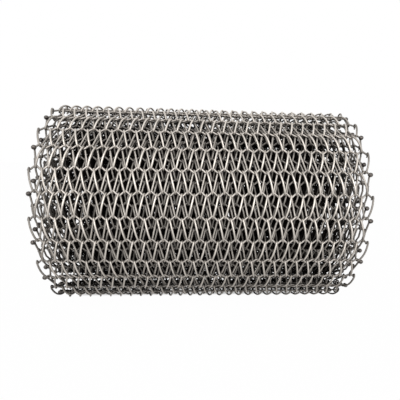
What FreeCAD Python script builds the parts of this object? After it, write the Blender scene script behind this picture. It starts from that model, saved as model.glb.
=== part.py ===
import FreeCAD
import Part
import math
import os

# A woven wire conveyor belt, rolled up and lying on its side.
#
# The belt is a chain of rigid rows. Each row is a flattened wire spiral, and each pair of
# neighbouring rows turns on one cross rod. Rolled up, the belt is a polygon that winds outwards
# round a bore, with a rod at every corner. The rows of every turn are straight and as long as
# the rod pitch, so the roll rests on the flat of one row.
#
# Frame: +X along the roll's axis, which is the belt's width, and +Z up. The origin is on the
# floor, under the middle of the roll's box. From the floor the outer turn goes up the front,
# over the top and down the back, where the loose end leans on the roll. Millimetres.

# Weave
ROW_PITCH = 25.4            # from one cross rod to the next
LOOP_PITCH = 12.7           # from one turn of a spiral to the next, across the belt
LOOP_COUNT = 28             # turns of each spiral
WIRE_DIAMETER = 2.03
BELT_THICKNESS = 8.4        # over the two faces of a row
CRIMP = 2.4                 # how far a rod's bends reach to each side of its line

# Roll
ROW_COUNT = 169             # rows in the whole belt
BORE_RADIUS = 39.0          # from the axis to the first row's inner face
TURN_GAP = 0.4              # least play between a turn and the one inside it
ROWS_PAST_REST = 20         # rows between the row that the roll lies on and the loose end

# Edges
EDGE_SETBACK = 6.35         # from a rod's end back to the turns' end faces
BEAD_DIAMETER = 4.6         # weld at one end of each rod
BEAD_FLAT_DIAMETER = 2.8    # the weld's two end flats
BEAD_LENGTH = 4.4
ROD_SIDES = 6
BEAD_SIDES = 6

BELT_WIDTH = LOOP_PITCH * LOOP_COUNT
BODY_WIDTH = BELT_WIDTH - 2 * EDGE_SETBACK


def next_rod(radius, angle):
    """The rod after the one at this radius and angle, one row pitch away along the winding.

    Each turn clears the one inside it by its thickness, the play, and the height by which a
    straight row cuts in under the corner of the turn inside.
    """
    sag = ROW_PITCH ** 2 / (8 * radius)
    spacing = BELT_THICKNESS + TURN_GAP + sag
    climb = spacing * 2 * math.asin(ROW_PITCH / 2 / radius) / (2 * math.pi)
    outer = radius + climb
    chord = math.sqrt((ROW_PITCH ** 2 - climb ** 2) / (4 * radius * outer))
    return outer, angle + 2 * math.asin(chord)


def wound_rods():
    """Rod centres (y, z) about the roll's axis, from the bore outwards."""
    radius = math.hypot(BORE_RADIUS + BELT_THICKNESS / 2, ROW_PITCH / 2)
    angle = 0.0
    rods = []
    for _ in range(ROW_COUNT + 1):
        rods.append((-radius * math.cos(angle), radius * math.sin(angle)))
        radius, angle = next_rod(radius, angle)
    return rods


def outward(rods, row):
    """Unit normal (y, z) of a row, away from the roll's axis."""
    dy = rods[row + 1][0] - rods[row][0]
    dz = rods[row + 1][1] - rods[row][1]
    length = math.hypot(dy, dz)
    return -dz / length, dy / length


def laid_down(rods):
    """The rods turned so that the rest row faces down, with that row's face on the floor."""
    rest_row = ROW_COUNT - 1 - ROWS_PAST_REST
    ny, nz = outward(rods, rest_row)
    turn = -math.pi / 2 - math.atan2(nz, ny)
    turned = []
    for y, z in rods:
        turned.append((y * math.cos(turn) - z * math.sin(turn), y * math.sin(turn) + z * math.cos(turn)))
    drop = turned[rest_row][1] - BELT_THICKNESS / 2
    middle = (min(y for y, z in turned) + max(y for y, z in turned)) / 2
    return [(y - middle, z - drop) for y, z in turned]


def offset(rod, direction, distance):
    """A point at a distance from a rod's centre, on the end face of the roll's body."""
    return FreeCAD.Vector(-BODY_WIDTH / 2, rod[0] + direction[0] * distance, rod[1] + direction[1] * distance)


def between(first, second):
    """Unit direction halfway between two directions."""
    y = first[0] + second[0]
    z = first[1] + second[1]
    length = math.hypot(y, z)
    return y / length, z / length


def opposite(direction):
    return -direction[0], -direction[1]


def along(normal):
    """Unit direction of a row from its normal, the way the belt is wound."""
    return normal[1], -normal[0]


def arc(start, middle, end):
    return Part.Arc(start, middle, end).toShape()


def line(start, end):
    return Part.LineSegment(start, end).toShape()


def outer_face_edges(rods):
    """The belt's outer face: a straight for each row, and an arc round each rod between two rows."""
    half = BELT_THICKNESS / 2
    edges = []
    for row in range(ROW_COUNT):
        normal = outward(rods, row)
        start = offset(rods[row], normal, half)
        end = offset(rods[row + 1], normal, half)
        edges.append(line(start, end))
        if row + 1 < ROW_COUNT:
            following = outward(rods, row + 1)
            top = offset(rods[row + 1], between(normal, following), half)
            edges.append(arc(end, top, offset(rods[row + 1], following, half)))
    return edges


def inner_corners(rods):
    """The belt's inner face: the corners at which its straights meet, from the bore outwards."""
    half = BELT_THICKNESS / 2
    corners = [offset(rods[0], opposite(outward(rods, 0)), half)]
    for row in range(ROW_COUNT - 1):
        normal = outward(rods, row)
        middle = between(normal, outward(rods, row + 1))
        cosine = normal[0] * middle[0] + normal[1] * middle[1]
        corners.append(offset(rods[row + 1], opposite(middle), half / cosine))
    corners.append(offset(rods[ROW_COUNT], opposite(outward(rods, ROW_COUNT - 1)), half))
    return corners


def wound_belt(rods):
    """The woven rows as one solid strip, wound up, with its bore and the play between its turns."""
    half = BELT_THICKNESS / 2
    outer = outer_face_edges(rods)
    corners = inner_corners(rods)
    first = outward(rods, 0)
    last = outward(rods, ROW_COUNT - 1)
    start_nose = arc(corners[0], offset(rods[0], opposite(along(first)), half), offset(rods[0], first, half))
    end_nose = arc(offset(rods[ROW_COUNT], last, half), offset(rods[ROW_COUNT], along(last), half), corners[-1])
    inner = [line(corners[k + 1], corners[k]) for k in range(ROW_COUNT - 1, -1, -1)]
    outline = Part.Wire([start_nose] + outer + [end_nose] + inner)
    return Part.Face(outline).extrude(FreeCAD.Vector(BODY_WIDTH, 0, 0))


def ring(rod, x, diameter, sides):
    """The corners of a regular polygon about a rod's centre, in the plane at x, back to the first."""
    corners = []
    for k in range(sides + 1):
        angle = 2 * math.pi * (k % sides) / sides
        y = rod[0] + diameter / 2 * math.cos(angle)
        z = rod[1] + diameter / 2 * math.sin(angle)
        corners.append(FreeCAD.Vector(x, y, z))
    return corners


def faceted(rings):
    """A closed solid with flat sides through rings that have as many corners each."""
    faces = [Part.Face(Part.makePolygon(rings[0])), Part.Face(Part.makePolygon(rings[-1]))]
    for near, far in zip(rings, rings[1:]):
        for k in range(len(near) - 1):
            corners = [near[k], near[k + 1], far[k + 1], far[k], near[k]]
            faces.append(Part.Face(Part.makePolygon(corners)))
    solid = Part.makeSolid(Part.makeShell(faces))
    if solid.Volume < 0:
        solid.reverse()
    return solid


def crimped_ends(rods):
    """Where the rods' ends are: the crimp ends with a bend towards the row nearer the bore."""
    ends = []
    for k, rod in enumerate(rods):
        below = outward(rods, max(k - 1, 0))
        above = outward(rods, min(k, ROW_COUNT - 1))
        way = along(between(below, above))
        ends.append((rod[0] - way[0] * CRIMP, rod[1] - way[1] * CRIMP))
    return ends


def bead_side(index):
    """The side on which a rod is welded: neighbouring rods are welded at opposite edges."""
    return 1 if index % 2 == 0 else -1


def rod_end(centre, side):
    """The stretch of a cross rod that stands out of the turns, up to its weld."""
    face = BODY_WIDTH / 2
    weld = (BELT_WIDTH - BEAD_LENGTH) / 2
    return faceted([ring(centre, side * face, WIRE_DIAMETER, ROD_SIDES),
                    ring(centre, side * weld, WIRE_DIAMETER, ROD_SIDES)])


def weld_bead(centre, side):
    """The drop of weld on a rod's end, seated on the end of the rod."""
    near = (BELT_WIDTH - BEAD_LENGTH) / 2
    return faceted([ring(centre, side * near, BEAD_FLAT_DIAMETER, BEAD_SIDES),
                    ring(centre, side * (near + BEAD_LENGTH / 2), BEAD_DIAMETER, BEAD_SIDES),
                    ring(centre, side * (near + BEAD_LENGTH), BEAD_FLAT_DIAMETER, BEAD_SIDES)])


def save(shape, name):
    shape.exportStep(os.path.join("parts", name + ".step"))
    print(name, len(shape.Solids), "solids", round(shape.Volume), "mm3", shape.isValid())


os.makedirs("parts", exist_ok=True)
rod_centres = laid_down(wound_rods())
save(wound_belt(rod_centres), "wound_belt")
rod_tips = crimped_ends(rod_centres)
save(Part.makeCompound([rod_end(tip, bead_side(k)) for k, tip in enumerate(rod_tips)]), "cross_rods")
save(Part.makeCompound([weld_bead(tip, bead_side(k)) for k, tip in enumerate(rod_tips)]), "weld_beads")
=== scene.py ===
"""The looks of a rolled-up wire conveyor belt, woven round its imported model.

The belt is a balanced weave: rows of flattened spirals, by turns right-hand and left-hand, that
hang on crimped cross rods. Every row is drawn as wire where the model has it, on the same
winding, and every rod ends in a weld at one edge of the belt.
"""
import logging
import math
import random
from dataclasses import dataclass, field
from enum import Enum

import bpy
from mathutils import Euler, Matrix, Vector

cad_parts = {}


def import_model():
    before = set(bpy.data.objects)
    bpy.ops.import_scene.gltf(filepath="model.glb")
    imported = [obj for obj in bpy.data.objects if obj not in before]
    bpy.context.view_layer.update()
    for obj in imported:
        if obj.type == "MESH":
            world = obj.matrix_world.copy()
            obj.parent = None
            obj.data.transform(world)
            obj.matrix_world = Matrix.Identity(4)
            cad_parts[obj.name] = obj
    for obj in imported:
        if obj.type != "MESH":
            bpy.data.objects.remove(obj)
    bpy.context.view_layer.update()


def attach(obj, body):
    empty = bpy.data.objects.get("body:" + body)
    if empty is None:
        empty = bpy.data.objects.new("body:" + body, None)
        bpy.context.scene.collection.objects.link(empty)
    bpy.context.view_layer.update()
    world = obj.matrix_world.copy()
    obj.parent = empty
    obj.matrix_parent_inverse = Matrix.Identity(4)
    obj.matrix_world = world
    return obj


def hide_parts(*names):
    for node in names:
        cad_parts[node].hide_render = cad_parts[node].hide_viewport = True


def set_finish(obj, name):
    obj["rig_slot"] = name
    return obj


MM = 0.001
MERGE_WITHIN = 0.02 * MM
SMOOTH_BELOW = math.radians(80)
NODE_OF_SLOT = {"belt_wire": "wound_belt", "rod_wire": "cross_rods", "weld": "weld_beads"}
LOG = logging.getLogger("wire_belt")
Colour = tuple[float, float, float]


class Hand(Enum):
    """The way a spiral turns, seen along +X."""

    RIGHT = 1
    LEFT = -1


@dataclass(frozen=True)
class WireDetail:
    """How finely a wire is drawn."""

    sides: int
    bend_steps: int
    bow_steps: int
    round_crimps: bool


class Depth(Enum):
    """How deep a turn of the roll lies, with the detail of its wires."""

    OUTER = WireDetail(sides=8, bend_steps=5, bow_steps=6, round_crimps=True)
    SECOND = WireDetail(sides=6, bend_steps=4, bow_steps=4, round_crimps=True)
    DEEPER = WireDetail(sides=5, bend_steps=3, bow_steps=2, round_crimps=False)

    @staticmethod
    def of_turn(turn: int) -> "Depth":
        """The depth of a turn, counted from the outermost, which is 0."""
        return (Depth.OUTER, Depth.SECOND, Depth.DEEPER)[min(turn, 2)]


@dataclass(frozen=True)
class Weave:
    """The sizes of the flat belt, in metres.

    A row's thickness is the model's. Its loops are drawn a little higher and nest between turns,
    with the rods sunk towards the bore, so that the strands on the roll's outside bow well out.
    """

    row_pitch: float = 25.4 * MM
    loop_pitch: float = 12.7 * MM
    loop_count: int = 28
    wire: float = 2.03 * MM
    thickness: float = 8.4 * MM
    loop_height: float = 9.2 * MM
    inner_bulge: float = 4.0 * MM
    end_bend: float = 2.15 * MM
    crimp: float = 2.4 * MM
    sink: float = 1.5 * MM

    @property
    def width(self) -> float:
        """From the weld on one edge to the weld on the other."""
        return self.loop_pitch * self.loop_count

    @property
    def seat(self) -> float:
        """From a rod's line to the centre of an end bend, which pulls on the rod's crimp."""
        return self.crimp + self.end_bend - self.wire

    @property
    def reach(self) -> float:
        """From the middle of a row to the centres of its end bends."""
        return self.row_pitch / 2 - self.seat

    @property
    def outer(self) -> tuple[float, float]:
        """The bow of the strands on the roll's outside, which stand well out from the rods."""
        return self.bow((self.loop_height - self.wire) / 2 + self.sink)

    @property
    def inner(self) -> tuple[float, float]:
        """The bow of the strands on the roll's inside, which are nearly straight."""
        return self.bow(self.inner_bulge - self.sink)

    def bow(self, bulge: float) -> tuple[float, float]:
        """How a strand bows out between its end bends.

        Args:
            bulge: from the line of the end bends' centres to the wire, where it stands out most.

        Returns:
            The bow's radius, and half the angle that the strand turns through along it.
        """
        radius = (bulge ** 2 + self.reach ** 2 - self.end_bend ** 2) / (2 * (bulge - self.end_bend))
        return radius, math.asin(self.reach / (radius - self.end_bend))

    @property
    def round_end(self) -> float:
        """The angle that the wire turns through in an end bend."""
        return math.pi - self.outer[1] - self.inner[1]

    @property
    def lead(self) -> float:
        """Sideways travel for each metre of wire in a spiral."""
        strands = sum(2 * radius * lean for radius, lean in (self.outer, self.inner))
        return self.loop_pitch / (2 * self.end_bend * self.round_end + strands)


@dataclass(frozen=True)
class Roll:
    """The winding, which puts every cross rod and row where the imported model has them."""

    weave: Weave
    row_count: int = 169
    bore_radius: float = 39.0 * MM
    turn_gap: float = 0.4 * MM
    rows_past_rest: int = 20

    @property
    def rest_row(self) -> int:
        """The row that the roll lies on."""
        return self.row_count - 1 - self.rows_past_rest

    def wound(self) -> list[Vector]:
        """Rod centres (y, z) about the roll's axis, from the bore outwards."""
        pitch = self.weave.row_pitch
        radius = math.hypot(self.bore_radius + self.weave.thickness / 2, pitch / 2)
        angle = 0.0
        rods = []
        for _ in range(self.row_count + 1):
            rods.append(Vector((-radius * math.cos(angle), radius * math.sin(angle))))
            sag = pitch ** 2 / (8 * radius)
            spacing = self.weave.thickness + self.turn_gap + sag
            climb = spacing * math.asin(pitch / 2 / radius) / math.pi
            chord = math.sqrt((pitch ** 2 - climb ** 2) / (4 * radius * (radius + climb)))
            angle += 2 * math.asin(chord)
            radius += climb
        return rods

    def rods(self) -> list[Vector]:
        """Rod centres (y, z) in the model's frame, with the rest row's face on the floor."""
        rods = self.wound()
        rest = self.rest_row
        down = outward(rods[rest + 1] - rods[rest])
        turn = Matrix.Rotation(-math.pi / 2 - math.atan2(down.y, down.x), 2)
        rods = [turn @ rod for rod in rods]
        middle = (min(rod.x for rod in rods) + max(rod.x for rod in rods)) / 2
        drop = rods[rest].y - self.weave.thickness / 2
        return [rod - Vector((middle, drop)) for rod in rods]

    def turns_from_outside(self) -> list[int]:
        """For each rod, how many whole turns lie outside it."""
        angles = [0.0]
        rods = self.wound()
        for near, far in zip(rods, rods[1:]):
            angles.append(angles[-1] + near.angle(far))
        return [int((angles[-1] - angle) // (2 * math.pi)) for angle in angles]


def outward(along: Vector) -> Vector:
    """Unit normal (y, z) of a row that runs along a direction, away from the bore."""
    return Vector((-along.y, along.x)).normalized()


def place_matrix(centre: Vector, along: Vector) -> Matrix:
    """The matrix that carries a piece drawn flat, with Y along the belt, to its place in the roll.

    Args:
        centre: where the piece's origin goes, (y, z).
        along: which way its Y axis points, (y, z).

    Returns:
        The placement, with X kept and Z turned away from the bore.
    """
    way = along.normalized()
    out = outward(way)
    matrix = Matrix.Identity(4)
    matrix.col[1] = (0.0, way.x, way.y, 0.0)
    matrix.col[2] = (0.0, out.x, out.y, 0.0)
    matrix.col[3] = (0.0, centre.x, centre.y, 1.0)
    return matrix


def deselect_all() -> None:
    """Leave nothing selected, so that an operator acts on the new piece alone."""
    if bpy.context.object and bpy.context.object.mode != "OBJECT":
        bpy.ops.object.mode_set(mode="OBJECT")
    bpy.ops.object.select_all(action="DESELECT")


def select_only(piece: bpy.types.Object) -> None:
    """Select one object and make it active."""
    deselect_all()
    piece.select_set(True)
    bpy.context.view_layer.objects.active = piece


class Wire:
    """A wire drawn in edit mode from a ring, fed on and bent as on a spiral former."""

    end_reach = 0.56
    """How far from an open end's middle its corners are looked for, in wire diameters."""

    def __init__(self, diameter: float, lead: float = 0.0) -> None:
        """Take a wire's diameter, and its sideways travel for each metre where it winds."""
        self.diameter = diameter
        self.lead = lead
        self.piece: bpy.types.Object | None = None
        self.tip = Vector()
        self.lean = 0.0

    def start(self, name: str, sides: int, tip: Vector, heading: Vector) -> None:
        """Add the ring that the wire starts from.

        Args:
            name: the object's name.
            sides: corners of the wire's section.
            tip: middle of the ring.
            heading: the way the wire leaves it.
        """
        deselect_all()
        turn = heading.to_track_quat("Z", "X").to_euler()
        radius = self.diameter / 2
        bpy.ops.mesh.primitive_circle_add(vertices=sides, radius=radius, location=tip, rotation=turn)
        self.piece = bpy.context.object
        self.piece.name = name
        bpy.ops.object.transform_apply(location=True, rotation=True, scale=True)
        bpy.ops.object.mode_set(mode="EDIT")
        bpy.ops.mesh.select_all(action="SELECT")
        self.tip = tip.copy()
        self.lean = math.atan2(heading.z, heading.y)

    def pick_up(self, piece: bpy.types.Object, tip: Vector, lean: float) -> None:
        """Take up a wire again at one of its open ends.

        Args:
            piece: the wire.
            tip: middle of its end ring.
            lean: the wire's direction there, as an angle about X from +Y.
        """
        select_only(piece)
        mesh = piece.data
        reach = self.diameter * self.end_reach
        near = [(vertex.co - tip).length < reach for vertex in mesh.vertices]
        mesh.polygons.foreach_set("select", [False] * len(mesh.polygons))
        mesh.vertices.foreach_set("select", near)
        mesh.edges.foreach_set("select", [all(near[k] for k in edge.vertices) for edge in mesh.edges])
        bpy.ops.object.mode_set(mode="EDIT")
        self.piece = piece
        self.tip = tip.copy()
        self.lean = lean

    def feed(self, step: Vector) -> None:
        """Draw the wire on by a step."""
        bpy.ops.mesh.extrude_region_move(TRANSFORM_OT_translate={"value": step})
        self.tip = self.tip + step

    def turn(self, angle: float, axis: str) -> None:
        """Turn the wire's tip about its own middle, by the right-hand rule about a world axis."""
        bpy.ops.transform.rotate(value=-angle, orient_axis=axis, center_override=self.tip)

    def run(self, length: float) -> None:
        """Feed the wire straight on, or back where the length is negative."""
        way = Vector((self.lead, math.cos(self.lean), math.sin(self.lean)))
        self.feed(way * length)

    def bend(self, radius: float, angle: float, steps: int) -> None:
        """Bend the wire about X while it travels sideways.

        Args:
            radius: of the bend, at the middle of the wire.
            angle: that the bend turns through.
            steps: number of facets along the bend.
        """
        part = angle / steps
        chord = 2 * radius * math.sin(part / 2)
        for _ in range(steps):
            self.lean += part / 2
            across, depth = math.cos(self.lean) * chord, math.sin(self.lean) * chord
            self.feed(Vector((self.lead * part * radius, across, depth)))
            self.lean += part / 2
            self.turn(part, "X")

    def finish(self) -> bpy.types.Object:
        """Leave edit mode and give the wire back."""
        bpy.ops.object.mode_set(mode="OBJECT")
        return self.piece


def repeat(piece: bpy.types.Object, pitch: float, count: int) -> None:
    """Repeat a piece along +X and weld the copies end to end."""
    select_only(piece)
    array = piece.modifiers.new("repeat", "ARRAY")
    array.use_relative_offset = False
    array.use_constant_offset = True
    array.constant_offset_displace = (pitch, 0, 0)
    array.count = count
    array.use_merge_vertices = True
    array.merge_threshold = MERGE_WITHIN
    bpy.ops.object.modifier_apply(modifier=array.name)


def close_and_smooth(piece: bpy.types.Object) -> None:
    """Cap a wire's two ends, turn its faces outwards and shade its sides smooth."""
    select_only(piece)
    bpy.ops.object.mode_set(mode="EDIT")
    bpy.ops.mesh.select_all(action="SELECT")
    bpy.ops.mesh.fill_holes(sides=0)
    bpy.ops.mesh.normals_make_consistent(inside=False)
    bpy.ops.object.mode_set(mode="OBJECT")
    bpy.ops.object.shade_smooth_by_angle(angle=SMOOTH_BELOW)


@dataclass
class SpiralRow:
    """One row of the belt: a flattened spiral that hangs on the rods at its two sides.

    It is drawn with the lower rod on the X axis and the upper rod one row pitch along +Y. At one
    edge it ends in a short tail, hooked over the upper rod, and at the other it bends up to its weld.
    """

    weave: Weave
    detail: WireDetail
    hand: Hand
    hook_tail: float = 1.8 * MM
    hook_turn: float = -0.5
    weld_bend: float = math.radians(64)

    def build(self) -> bpy.types.Object:
        """Draw one turn, repeat it across the belt, and finish both ends.

        Returns:
            The row, hooked over the upper rod at one edge and bent up to its weld at the other.
        """
        weave = self.weave
        wire = Wire(weave.wire, weave.lead)
        first, last = self.joint(-weave.width / 2), self.joint(weave.width / 2)
        lean = weave.inner[1]
        heading = Vector((weave.lead, math.cos(lean), math.sin(lean)))
        wire.start("spiral_row", self.detail.sides, first, heading)
        for (radius, half), steps in ((weave.outer, self.detail.bow_steps), (weave.inner, 1)):
            wire.bend(weave.end_bend, weave.round_end, self.detail.bend_steps)
            wire.bend(radius, 2 * half, steps)
        row = wire.finish()
        repeat(row, weave.loop_pitch, weave.loop_count)
        wire.pick_up(row, first, lean)
        wire.lead = self.hook_turn
        wire.run(-self.hook_tail)
        wire.finish()
        wire.pick_up(row, last, lean)
        wire.bend(weave.end_bend, self.weld_bend, max(self.detail.bend_steps // 2, 1))
        wire.finish()
        close_and_smooth(row)
        if self.hand is Hand.LEFT:
            self.mirror(row)
        return row

    def joint(self, x: float) -> Vector:
        """Where a back strand runs into the bend over the upper rod, for a bend that is at its top at x."""
        weave = self.weave
        lean = weave.inner[1]
        before = weave.lead * weave.end_bend * (math.pi / 2 - lean)
        across = weave.row_pitch - weave.seat + weave.end_bend * math.sin(lean)
        return Vector((x - before, across, -weave.sink - weave.end_bend * math.cos(lean)))

    @staticmethod
    def mirror(row: bpy.types.Object) -> None:
        """Turn a right-hand row into a left-hand one."""
        select_only(row)
        bpy.ops.transform.mirror(constraint_axis=(True, False, False), center_override=(0, 0, 0))
        bpy.ops.object.transform_apply(location=True, rotation=True, scale=True)
        bpy.ops.object.mode_set(mode="EDIT")
        bpy.ops.mesh.select_all(action="SELECT")
        bpy.ops.mesh.normals_make_consistent(inside=False)
        bpy.ops.object.mode_set(mode="OBJECT")


@dataclass
class CrossRod:
    """A crimped rod on the X axis, bent up to the row above and down to the row below by turns.

    A round crimp has a shoulder on each side of its crest: so high, as a share of the crest, and
    so far from it, as a share of the loop pitch.
    """

    weave: Weave
    detail: WireDetail
    overhang: float = 1.2 * MM
    shoulder_height: float = 0.8
    shoulder_place: float = 0.09

    def stations(self) -> list[tuple[float, float]]:
        """Places along one crimp, as shares of its pitch, with the rod's height there."""
        crimp = self.weave.crimp
        if not self.detail.round_crimps:
            return [(0.5, crimp), (1.0, -crimp)]
        side = self.shoulder_height * crimp
        low, high = self.shoulder_place, 0.5 - self.shoulder_place
        rise = [(low, -side), (high, side), (0.5, crimp)]
        fall = [(1 - high, side), (1 - low, -side), (1.0, -crimp)]
        return rise + fall

    def build(self) -> bpy.types.Object:
        """Draw one crimp, repeat it across the belt, and let the ends stand out."""
        weave = self.weave
        start = Vector((-weave.width / 2, -weave.crimp, 0))
        wire = Wire(weave.wire)
        wire.start("cross_rod", self.detail.sides, start, Vector((1, 0, 0)))
        marks = self.stations()
        lean = 0.0
        for (share, height), slope in zip(marks, self.slopes(marks)):
            target = Vector((start.x + share * weave.loop_pitch, height, 0))
            wire.feed(target - wire.tip)
            wire.turn(slope - lean, "Z")
            lean = slope
        rod = wire.finish()
        repeat(rod, weave.loop_pitch, weave.loop_count)
        for side in (-1, 1):
            wire.pick_up(rod, Vector((side * weave.width / 2, -weave.crimp, 0)), 0.0)
            wire.feed(Vector((side * self.overhang, 0, 0)))
            wire.finish()
        close_and_smooth(rod)
        return rod

    def slopes(self, marks: list[tuple[float, float]]) -> list[float]:
        """The rod's slope at each place, as an angle: the mean of the runs before and after it."""
        points = [(0.0, -self.weave.crimp)] + marks + [(1 + marks[0][0], marks[0][1])]
        runs = []
        for near, far in zip(points, points[1:]):
            runs.append(math.atan2(far[1] - near[1], (far[0] - near[0]) * self.weave.loop_pitch))
        return [(before + after) / 2 for before, after in zip(runs, runs[1:])]


@dataclass
class WeldBead:
    """The drop of weld that holds a spiral's end to its rod."""

    weave: Weave
    segments: int = 8
    rings: int = 6
    diameter: float = 5.2 * MM
    setback: float = 0.8 * MM
    rise: float = 0.8 * MM

    def build(self) -> bpy.types.Object:
        """Make the drop as a ball, with its poles along the rod."""
        deselect_all()
        bpy.ops.mesh.primitive_uv_sphere_add(segments=self.segments, ring_count=self.rings,
                                             radius=self.diameter / 2, rotation=(0, math.pi / 2, 0))
        bead = bpy.context.object
        bead.name = "weld_bead"
        bpy.ops.object.transform_apply(location=True, rotation=True, scale=True)
        bpy.ops.object.shade_smooth()
        return bead

    def place(self, side: int) -> Matrix:
        """Where the bead sits on a rod that lies on the X axis."""
        across = self.rise - self.weave.crimp
        return Matrix.Translation((side * (self.weave.width / 2 - self.setback), across, 0))


@dataclass(frozen=True)
class PaintedShade:
    """Painted shade, darker the deeper a wire lies in the roll, written on a mesh as an attribute.

    by_turn is its share on a turn, inner what a row's inner face has more than its outer one, and
    under what the sides and undersides of wires have more than their outer sides, which face out.
    The roll's two ends, which lie open, are much the same from the outermost turn to the bore:
    the share goes to at_edge there, within edge of the belt's edges, which lightens the deeper turns'
    ends and paints shade on the outer turn's hooks. The roll is painted darker near the floor, by up
    to below, from a height of low down.
    """

    name: str = "painted_shade"
    by_turn: tuple[float, ...] = (0.0, 0.35, 0.8, 0.95)
    inner: float = 0.28
    under: float = 0.8
    edge: float = 20.0 * MM
    at_edge: float = 0.68
    below: float = 0.3
    low: float = 70.0 * MM

    def write(self, piece: bpy.types.Object, weave: Weave, turn: int) -> None:
        """Write the share of painted shade at every vertex.

        Args:
            piece: a row, rod or weld as drawn flat, with Z away from the bore.
            weave: the belt's sizes.
            turn: the turn of the roll that it lies in, counted from the outermost.
        """
        of_turn = self.by_turn[min(turn, len(self.by_turn) - 1)]
        shares = []
        for vertex, normal in zip(piece.data.vertices, piece.data.vertex_normals):
            # Painted shade: more on deeper turns, on a row's inner face and on the sides and undersides of
            # wires, going to at_edge at the belt's open ends.
            share = of_turn + self.inner * (0.5 - vertex.co.z / weave.loop_height)
            share = min(max(share + self.under * (0.5 - 0.5 * normal.vector.z), 0.0), 1.0)
            inboard = weave.width / 2 - abs(vertex.co.x)
            open_end = min(max(1 - inboard / self.edge, 0.0), 1.0)
            shares.append(share + (self.at_edge - share) * open_end)
        layer = piece.data.attributes.new(self.name, "FLOAT", "POINT")
        layer.data.foreach_set("value", shares)

    def shade_towards_floor(self, piece: bpy.types.Object) -> None:
        """Add the painted shade that darkens the roll towards the floor, once a piece is in place."""
        mesh = piece.data
        values = mesh.attributes[self.name].data
        for value, vertex in zip(values, mesh.vertices):
            # Painted shade, darker towards the floor.
            depth = min(max(1 - vertex.co.z / self.low, 0.0), 1.0)
            value.value = min(1.0, value.value + self.below * depth)


@dataclass
class Belt:
    """The whole roll: rows, rods and welds, gathered by hand and by turn."""

    roll: Roll
    seed: int = 11
    play: float = 0.25 * MM
    painted_shade: PaintedShade = PaintedShade()
    pieces: list[bpy.types.Object] = field(default_factory=list)

    def build(self) -> None:
        """Weave the belt, turn by turn from the bore outwards."""
        rods = self.roll.rods()
        turns = self.roll.turns_from_outside()
        dice = random.Random(self.seed)
        shifts = [dice.uniform(-self.play, self.play) for _ in rods]
        for turn in range(max(turns), -1, -1):
            self.weave_turn(turn, rods, turns, shifts)

    def weave_turn(self, turn: int, rods: list[Vector], turns: list[int],
                   shifts: list[float]) -> None:
        """Make the spirals, rods and welds of one turn as one mesh of each kind.

        Args:
            turn: counted from the outermost.
            rods: every rod's centre.
            turns: the turn that every rod lies in.
            shifts: how far each rod has slid sideways, with the row that is welded to it.
        """
        weave = self.roll.weave
        detail = Depth.of_turn(turn).value
        label = f"turn_{turn + 1}"
        members = [k for k in range(len(rods)) if turns[k] == turn]
        for hand, word in ((Hand.RIGHT, "right"), (Hand.LEFT, "left")):
            template = SpiralRow(weave, detail, hand).build()
            rows = [k for k in members if k < len(rods) - 1 and (k % 2 == 1) == (hand is Hand.RIGHT)]
            slides = [Matrix.Translation((shifts[k + 1], 0, 0)) for k in rows]
            places = [self.row_place(k, rods) @ slide for k, slide in zip(rows, slides)]
            self.gather(template, turn, places, f"{word}_hand_spirals_{label}", "belt_wire")
        slides = [Matrix.Translation((shifts[k], 0, -weave.sink)) for k in members]
        lines = [place_matrix(rods[k], self.way_at(rods, k)) for k in members]
        slid = [line @ slide for line, slide in zip(lines, slides)]
        template = CrossRod(weave, detail).build()
        self.gather(template, turn, slid, f"cross_rods_{label}", "rod_wire")
        bead = WeldBead(weave)
        places = [matrix @ bead.place(1 if k % 2 == 0 else -1) for k, matrix in zip(members, slid)]
        self.gather(bead.build(), turn, places, f"weld_beads_{label}", "weld")

    def row_place(self, k: int, rods: list[Vector]) -> Matrix:
        """Where a row's spiral sits: on its two rods, but pressed in where the roll rests on it."""
        weave = self.roll.weave
        press = (weave.loop_height - weave.thickness) / 2 if k == self.roll.rest_row else 0.0
        return place_matrix(rods[k], rods[k + 1] - rods[k]) @ Matrix.Translation((0, 0, -press))

    @staticmethod
    def way_at(rods: list[Vector], k: int) -> Vector:
        """The belt's direction at a rod, halfway between those of the rows on its two sides."""
        below = (rods[k] - rods[k - 1]) if k > 0 else (rods[k + 1] - rods[k])
        above = (rods[k + 1] - rods[k]) if k + 1 < len(rods) else below
        return below.normalized() + above.normalized()

    def gather(self, template: bpy.types.Object, turn: int, places: list[Matrix], name: str,
               slot: str) -> None:
        """Copy a piece to each of its places, each copy with its own mesh, and join them.

        Args:
            template: the piece, which is removed afterwards.
            turn: the turn that the copies lie in, counted from the outermost.
            places: one matrix for each copy.
            name: of the joined piece.
            slot: the record's material slot.
        """
        self.painted_shade.write(template, self.roll.weave, turn)
        copies = []
        for matrix in places:
            mesh = template.data.copy()
            mesh.transform(matrix)
            copy = bpy.data.objects.new(name, mesh)
            bpy.context.scene.collection.objects.link(copy)
            copies.append(copy)
        bpy.data.objects.remove(template)
        if not copies:
            return
        deselect_all()
        for copy in copies:
            copy.select_set(True)
        bpy.context.view_layer.objects.active = copies[0]
        if len(copies) > 1:
            bpy.ops.object.join()
        piece = bpy.context.view_layer.objects.active
        piece.name = name
        self.painted_shade.shade_towards_floor(piece)
        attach(piece, "root")
        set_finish(piece, slot)
        self.pieces.append(piece)
        LOG.info("%s: %d copies, %d faces", name, len(places), len(piece.data.polygons))


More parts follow.
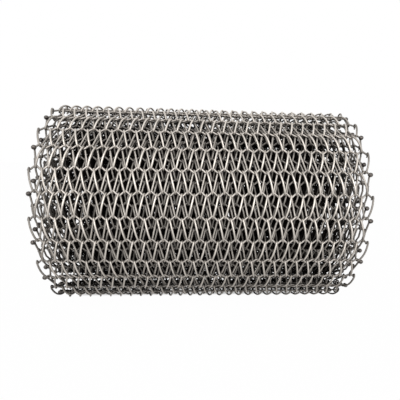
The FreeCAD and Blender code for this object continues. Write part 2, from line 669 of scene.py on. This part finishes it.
class Value:
    """A shader socket that takes part in sums."""

    def __init__(self, shader: "Shader", socket: bpy.types.NodeSocket) -> None:
        """Wrap a socket of a shader's node."""
        self.shader = shader
        self.socket = socket

    def _math(self, operation: str, *others: "Value | float") -> "Value":
        """A Math node on this value and what it is worked out with."""
        inputs = dict(enumerate((self, *others)))
        return self.shader.node("ShaderNodeMath", {"operation": operation}, inputs)

    def __add__(self, other: "Value | float") -> "Value":
        """The sum."""
        return self._math("ADD", other)

    __radd__ = __add__

    def __mul__(self, other: "Value | float") -> "Value":
        """The product."""
        return self._math("MULTIPLY", other)

    __rmul__ = __mul__

    def __abs__(self) -> "Value":
        """The value without its sign."""
        return self._math("ABSOLUTE")

    def at_least(self, other: "Value | float") -> "Value":
        """The larger of the two."""
        return self._math("MAXIMUM", other)


class Shader:
    """The node tree of a material or of the world, from the shader that it comes with."""

    def __init__(self, owner: bpy.types.Material | bpy.types.World) -> None:
        """Switch the owner's nodes on."""
        owner.use_nodes = True
        self.owner = owner
        self.tree = owner.node_tree
        outputs = [node for node in self.tree.nodes if node.bl_idname.startswith("ShaderNodeOutput")]
        self.surface = outputs[0].inputs["Surface"]
        self.base = self.surface.links[0].from_node

    def node(self, kind: str, settings: dict, inputs: dict, output: int | str = 0) -> Value:
        """Add a node.

        Args:
            kind: the node's type.
            settings: its own settings, set first.
            inputs: a value or link for each socket, by name or number.
            output: the output that is wanted.

        Returns:
            That output.
        """
        made = self.tree.nodes.new(kind)
        for key, value in settings.items():
            if key == "stops":
                self.set_stops(made.color_ramp, value)
            else:
                setattr(made, key, value)
        for key, value in inputs.items():
            self.supply(made.inputs[key], value)
        return Value(self, made.outputs[output])

    def supply(self, socket: bpy.types.NodeSocket, value: Value | float | tuple) -> None:
        """Set or link a socket."""
        if isinstance(value, Value):
            self.tree.links.new(value.socket, socket)
        else:
            socket.default_value = value

    def feed(self, socket: str, value: Value | float | tuple) -> None:
        """Set or link a socket of the base shader."""
        self.supply(self.base.inputs[socket], value)

    @staticmethod
    def set_stops(ramp: bpy.types.ColorRamp, stops: list[tuple[float, Colour]]) -> None:
        """Set a ramp's stops, each a place and a colour."""
        while len(ramp.elements) < len(stops):
            ramp.elements.new(0.5)
        for element, (place, colour) in zip(ramp.elements, stops):
            element.position = place
            element.color = (*colour, 1)

    def noise(self, scale: float, detail: float) -> Value:
        """Noise in the piece's own space, of so many cells to the metre."""
        place = self.node("ShaderNodeTexCoord", {}, {}, "Object")
        return self.node("ShaderNodeTexNoise", {}, {"Vector": place, "Scale": scale, "Detail": detail})

    def between(self, share: Value, places: tuple[float, float], colours: tuple[Colour, Colour]) -> Value:
        """A colour that goes from one to another as a share goes from one place to another."""
        return self.node("ShaderNodeValToRGB", {"stops": list(zip(places, colours))}, {0: share})

    def mix(self, share: Value, first: Value, second: Colour) -> Value:
        """A colour between two, by a share."""
        inputs = {0: share, 6: first, 7: (*second, 1)}
        return self.node("ShaderNodeMix", {"data_type": "RGBA"}, inputs, 2)

    def bump(self, height: Value, strength: float, distance: float) -> None:
        """Roughen the base shader's surface by a height."""
        inputs = {"Strength": strength, "Distance": distance, "Height": height}
        self.feed("Normal", self.node("ShaderNodeBump", {}, inputs, "Normal"))

    def whiten(self, share: Value, kind: str) -> None:
        """Show white in place of the base shader.

        Args:
            share: how much of the white shows.
            kind: the type of node that makes it.
        """
        white = self.node(kind, {}, {"Color": (1, 1, 1, 1)})
        base = Value(self, self.base.outputs[0])
        self.supply(self.surface, self.node("ShaderNodeMixShader", {}, {0: share, 1: base, 2: white}))


@dataclass(frozen=True)
class DrawnWire:
    """Bright drawn stainless wire under a film of oil and dust.

    The film dulls it in patches, painted shade written on its mesh darkens it, and drawing leaves a fine
    grain.
    """

    name: str
    bright: Colour = (0.80, 0.745, 0.685)
    dull: Colour = (0.64, 0.595, 0.54)
    # the near-black that the painted shade darkens the metal to
    painted_shade_colour: Colour = (0.013, 0.011, 0.010)
    roughness: float = 0.42
    film_scale: float = 90.0
    film_range: tuple[float, float] = (0.35, 0.62)
    film_roughness: float = 0.16
    painted_shade_roughness: float = 0.25
    grain_scale: float = 1400.0
    grain_strength: float = 0.12
    grain_depth: float = 0.05 * MM

    def material(self) -> bpy.types.Material:
        """Make the material."""
        shader = Shader(bpy.data.materials.new(self.name))
        film = shader.noise(self.film_scale, 3.0)
        metal = shader.between(film, self.film_range, (self.dull, self.bright))
        # Painted shade from the mesh attribute darkens the metal towards near-black and also roughens it.
        painted_shade = shader.node("ShaderNodeAttribute", {"attribute_name": PaintedShade.name}, {}, "Fac")
        shader.feed("Base Color", shader.mix(painted_shade, metal, self.painted_shade_colour))
        shader.feed("Metallic", 1.0)
        shader.feed("Roughness", self.roughness + self.film_roughness * film + self.painted_shade_roughness * painted_shade)
        shader.bump(shader.noise(self.grain_scale, 2.0), self.grain_strength, self.grain_depth)
        return shader.owner


@dataclass(frozen=True)
class HeatTintAndShade:
    """Weld metal, dark with heat tint and scale, and darker still as painted shade for the dark
    surroundings that a shiny bead reflects.
    """

    name: str
    dark: Colour = (0.045, 0.040, 0.038)
    light: Colour = (0.20, 0.18, 0.165)
    tint_range: tuple[float, float] = (0.35, 0.7)
    smoothest: float = 0.28
    scale_roughness: float = 0.3
    scale_size: float = 420.0
    scale_strength: float = 0.35
    scale_depth: float = 0.15 * MM

    def material(self) -> bpy.types.Material:
        """Make the material."""
        shader = Shader(bpy.data.materials.new(self.name))
        scale = shader.noise(self.scale_size, 3.0)
        shader.feed("Base Color", shader.between(scale, self.tint_range, (self.dark, self.light)))
        shader.feed("Metallic", 1.0)
        shader.feed("Roughness", self.smoothest + self.scale_roughness * scale)
        shader.bump(scale, self.scale_strength, self.scale_depth)
        return shader.owner


@dataclass(frozen=True)
class Softbox:
    """A square lamp that faces the roll, with its power in watts."""

    name: str
    place: tuple[float, float, float]
    power: float
    size: float = 1.0

    def hang(self, target: Vector) -> None:
        """Hang the lamp at its place, turned to a target."""
        data = bpy.data.lights.new(self.name, "AREA")
        data.size = self.size
        data.energy = self.power
        lamp = bpy.data.objects.new(self.name, data)
        lamp.location = self.place
        lamp.rotation_euler = (target - Vector(self.place)).to_track_quat("-Z", "Y").to_euler()
        bpy.context.scene.collection.objects.link(lamp)


@dataclass(frozen=True)
class Studio:
    """A pale floor under soft light, and the camera at the photograph's place.

    axis is the roll's axis, (y, z). The camera's place is taken from there, its turn is pitch, roll
    and yaw in degrees, and its shift is in pixels. The whites are shares: what the camera sees
    first, then what metal and glass show. Under the roll the floor's share is less, which paints a
    shadow there: within the first distance of shadow_x and shadow_y, up to the second.
    """

    axis: tuple[float, float] = (0.002472, 0.121267)
    camera_place: tuple[float, float, float] = (-16.9 * MM, -459.0 * MM, 74.5 * MM)
    camera_turn: tuple[float, float, float] = (-12.846, -1.242, -4.219)
    camera_shift: tuple[float, float] = (-14.0, 27.0)
    focal_pixels: float = 335.1
    frame_pixels: float = 400.0
    sensor: float = 36.0
    clip_start: float = 0.01
    floor_size: float = 8.0
    floor_colour: Colour = (0.8, 0.8, 0.8)
    floor_roughness: float = 0.9
    floor_white: tuple[float, float] = (0.985, 0.3)
    shadow_x: tuple[float, float] = (158.0 * MM, 168.0 * MM)
    shadow_y: tuple[float, float] = (18.44 * MM, 24.0 * MM)
    shadow_white: float = 0.5
    surround: Colour = (0.5, 0.5, 0.5)
    surround_white: tuple[float, float] = (1.0, 1.0)
    lamps: tuple[Softbox, ...] = (Softbox("key", (-0.3, -1.2, 0.9), 12.0),
                                  Softbox("fill", (0.9, -1.1, 0.4), 5.0))

    def build(self) -> None:
        """Lay the floor, hang the lamps and set up the camera."""
        self.floor()
        self.world()
        for lamp in self.lamps:
            lamp.hang(Vector((0, 0, self.axis[1])))
        self.camera()
        bpy.context.scene.view_settings.view_transform = "Standard"

    def floor(self) -> None:
        """A plain pale floor, white to the camera and to reflections, with a painted shadow under the roll.
        """
        deselect_all()
        bpy.ops.mesh.primitive_plane_add(size=self.floor_size, location=(0, 0, 0))
        floor = bpy.context.object
        floor.name = "floor"
        shader = Shader(bpy.data.materials.new("pale_floor"))
        shader.feed("Base Color", (*self.floor_colour, 1))
        shader.feed("Roughness", self.floor_roughness)
        # The floor's white is lowered under the roll: a painted shadow.
        shader.whiten(self.seen(shader, self.floor_white) * self.painted_contact_shadow(shader), "ShaderNodeEmission")
        floor.data.materials.append(shader.owner)

    def painted_contact_shadow(self, shader: Shader) -> Value:
        """The share of its white that the floor keeps under the roll, lowered there as a painted shadow."""
        place = shader.node("ShaderNodeTexCoord", {}, {}, "Object")
        kept = []
        for axis, (near, far) in (("X", self.shadow_x), ("Y", self.shadow_y)):
            away = abs(shader.node("ShaderNodeSeparateXYZ", {}, {0: place}, axis))
            limits = {"From Min": near, "From Max": far, "To Min": self.shadow_white, "To Max": 1.0}
            kept.append(shader.node("ShaderNodeMapRange", {}, {"Value": away, **limits}, "Result"))
        return kept[0].at_least(kept[1])

    @staticmethod
    def seen(shader: Shader, whites: tuple[float, float]) -> Value:
        """How white a surround is to what looks at it.

        Args:
            shader: the surround's.
            whites: the shares of white that the camera sees, and that metal and glass show.

        Returns:
            The share for each ray.
        """
        rays = [f"Is {word} Ray" for word in ("Camera", "Glossy", "Transmission")]
        camera, glossy, through = (shader.node("ShaderNodeLightPath", {}, {}, ray) for ray in rays)
        return whites[0] * camera + whites[1] * (glossy + through)

    def world(self) -> None:
        """A white surround for the camera and reflections, and a softer one for light."""
        shader = Shader(bpy.data.worlds.new("surround"))
        shader.feed("Color", (*self.surround, 1))
        shader.whiten(self.seen(shader, self.surround_white), "ShaderNodeBackground")
        bpy.context.scene.world = shader.owner

    def camera(self) -> None:
        """Set the camera where the photograph was taken from."""
        data = bpy.data.cameras.new("camera")
        data.sensor_width = self.sensor
        data.lens = self.focal_pixels / self.frame_pixels * self.sensor
        data.shift_x, data.shift_y = (pixels / self.frame_pixels for pixels in self.camera_shift)
        data.clip_start = self.clip_start
        camera = bpy.data.objects.new("camera", data)
        pitch, roll, yaw = (math.radians(angle) for angle in self.camera_turn)
        turns = [Euler(turn).to_matrix() for turn in ((0, 0, yaw), (pitch, 0, 0), (0, roll, 0))]
        turn = turns[0] @ turns[1] @ turns[2]
        camera.matrix_world = Matrix((turn.col[0], turn.col[2], -turn.col[1])).transposed().to_4x4()
        camera.location = Vector(self.camera_place) + Vector((0, *self.axis))
        bpy.context.scene.collection.objects.link(camera)
        bpy.context.scene.camera = camera


def dress(pieces: list[bpy.types.Object]) -> None:
    """Give every piece the finish of its slot."""
    finishes = {
        "belt_wire": DrawnWire("belt_wire").material(),
        # The rods' wire is the same, drawn darker: painted shade for rods that lie within the spirals.
        "rod_wire": DrawnWire("rod_wire", bright=(0.70, 0.65, 0.60), dull=(0.50, 0.465, 0.425)).material(),
        "weld": HeatTintAndShade("weld").material(),
    }
    for piece in pieces:
        piece.data.materials.clear()
        piece.data.materials.append(finishes[piece["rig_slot"]])


def main() -> None:
    """Load the frame, weave the belt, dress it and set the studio."""
    logging.basicConfig(level=logging.INFO, format="%(message)s")
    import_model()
    belt = Belt(Roll(Weave()))
    belt.build()
    for piece in belt.pieces:
        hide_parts(NODE_OF_SLOT[piece["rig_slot"]])
    dress(belt.pieces)
    Studio().build()
    bpy.context.view_layer.update()
    LOG.info("triangles in all: %d", sum(len(p.vertices) - 2 for o in belt.pieces for p in o.data.polygons))


if __name__ == "__main__":
    main()
